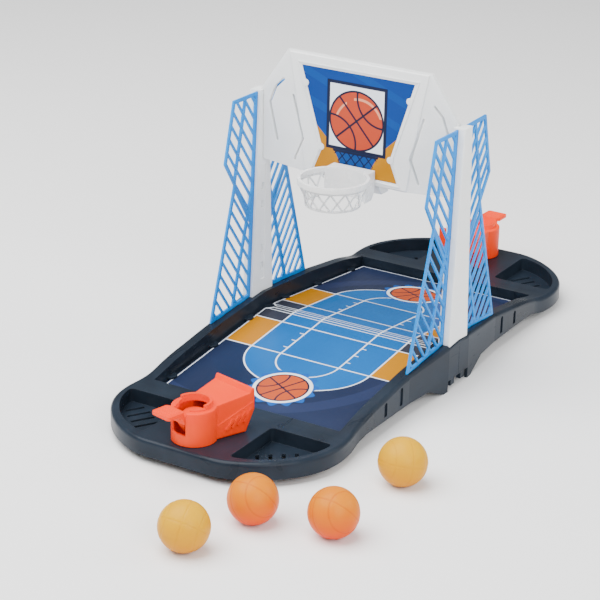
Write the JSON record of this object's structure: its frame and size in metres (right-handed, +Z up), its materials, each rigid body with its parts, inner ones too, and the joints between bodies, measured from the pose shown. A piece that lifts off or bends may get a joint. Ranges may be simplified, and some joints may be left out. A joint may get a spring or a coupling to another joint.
{
  "type": "tabletop finger basketball game",
  "caption": "Tabletop basketball game: plug-together tray with printed courts, lattice towers, shared backboard with hoops and nets, swivelling launchers with sprung paddles, loose balls.",
  "frame": {"origin": "on the floor under the middle of the backboard, where the two tray halves meet", "axes": "+X across the court to the front player's right, +Y along the court away from the front player, +Z up"},
  "size_m": [0.2027, 0.4848, 0.1945],
  "materials": {
    "tray_navy": "satin moulded ABS",
    "court_print": "laminated printed board",
    "tower_white": "satin moulded plastic",
    "lattice_cyan": "satin moulded plastic",
    "board_print": "laminated print",
    "hoop_white": "slightly translucent moulded plastic",
    "net_white": "translucent flexible plastic",
    "launcher_orange": "satin moulded plastic",
    "ball_yellow": "hollow blow-moulded plastic",
    "ball_orange": "hollow blow-moulded plastic",
    "steel": "bright zinc"
  },
  "bodies": {
    "base": {"backboard_card_front": "board_print", "backboard_card_rear": "board_print", "backboard_front_shell": "tower_white", "backboard_rear_shell": "tower_white", "base_half_front": "tray_navy", "base_half_rear": "tray_navy", "board_screws": "steel", "court_card_front": "court_print", "court_card_rear": "court_print", "hoop_front": "hoop_white", "hoop_rear": "hoop_white", "lattice_left_front": "lattice_cyan", "lattice_left_rear": "lattice_cyan", "lattice_right_front": "lattice_cyan", "lattice_right_rear": "lattice_cyan", "net_front": "net_white", "net_rear": "net_white", "tower_column_left": "tower_white", "tower_column_right": "tower_white"},
    "launcher_front": {"launcher_front_base_plate": "launcher_orange", "launcher_front_housing": "launcher_orange", "launcher_front_lever_pin": "steel", "launcher_front_pivot_screw": "steel", "launcher_front_return_spring": "launcher_orange"},
    "lever_front": {"launcher_front_lever": "launcher_orange"},
    "launcher_rear": {"launcher_rear_base_plate": "launcher_orange", "launcher_rear_housing": "launcher_orange", "launcher_rear_lever_pin": "steel", "launcher_rear_pivot_screw": "steel", "launcher_rear_return_spring": "launcher_orange"},
    "lever_rear": {"launcher_rear_lever": "launcher_orange"},
    "ball_orange_a": {"ball_orange_a": "ball_orange"},
    "ball_orange_b": {"ball_orange_b": "ball_orange"},
    "ball_yellow_a": {"ball_yellow_a": "ball_yellow"},
    "ball_yellow_b": {"ball_yellow_b": "ball_yellow"}
  },
  "joints": [
    {"name": "launcher_front_swivel", "type": "hinge", "parent": "base", "child": "launcher_front", "pos_m": [0, -0.178, 0.015], "axis": [0, 0, 1], "range_deg": [-17, 43]},
    {"name": "lever_front_press", "type": "hinge", "parent": "launcher_front", "child": "lever_front", "pos_m": [-0.00112, -0.18287, 0.028], "axis": [0.9744, -0.225, 0], "range_deg": [0, 28], "stiffness_Nm_per_rad": 0.02, "springref_deg": -20.05, "deforming": ["launcher_front_return_spring"]},
    {"name": "launcher_rear_swivel", "type": "hinge", "parent": "base", "child": "launcher_rear", "pos_m": [0, 0.178, 0.015], "axis": [0, 0, 1], "range_deg": [-29, 31]},
    {"name": "lever_rear_press", "type": "hinge", "parent": "launcher_rear", "child": "lever_rear", "pos_m": [0.00009, 0.183, 0.028], "axis": [-0.9998, 0.0175, 0], "range_deg": [0, 28], "stiffness_Nm_per_rad": 0.02, "springref_deg": -20.05, "deforming": ["launcher_rear_return_spring"]},
    {"name": "ball_orange_a_lift", "type": "slide", "parent": "base", "child": "ball_orange_a", "axis": [0, 0, 1], "range_m": [0, 0.06]},
    {"name": "ball_orange_b_lift", "type": "slide", "parent": "base", "child": "ball_orange_b", "axis": [0, 0, 1], "range_m": [0, 0.06]},
    {"name": "ball_yellow_a_lift", "type": "slide", "parent": "base", "child": "ball_yellow_a", "axis": [0, 0, 1], "range_m": [0, 0.06]},
    {"name": "ball_yellow_b_lift", "type": "slide", "parent": "base", "child": "ball_yellow_b", "axis": [0, 0, 1], "range_m": [0, 0.06]}
  ]
}
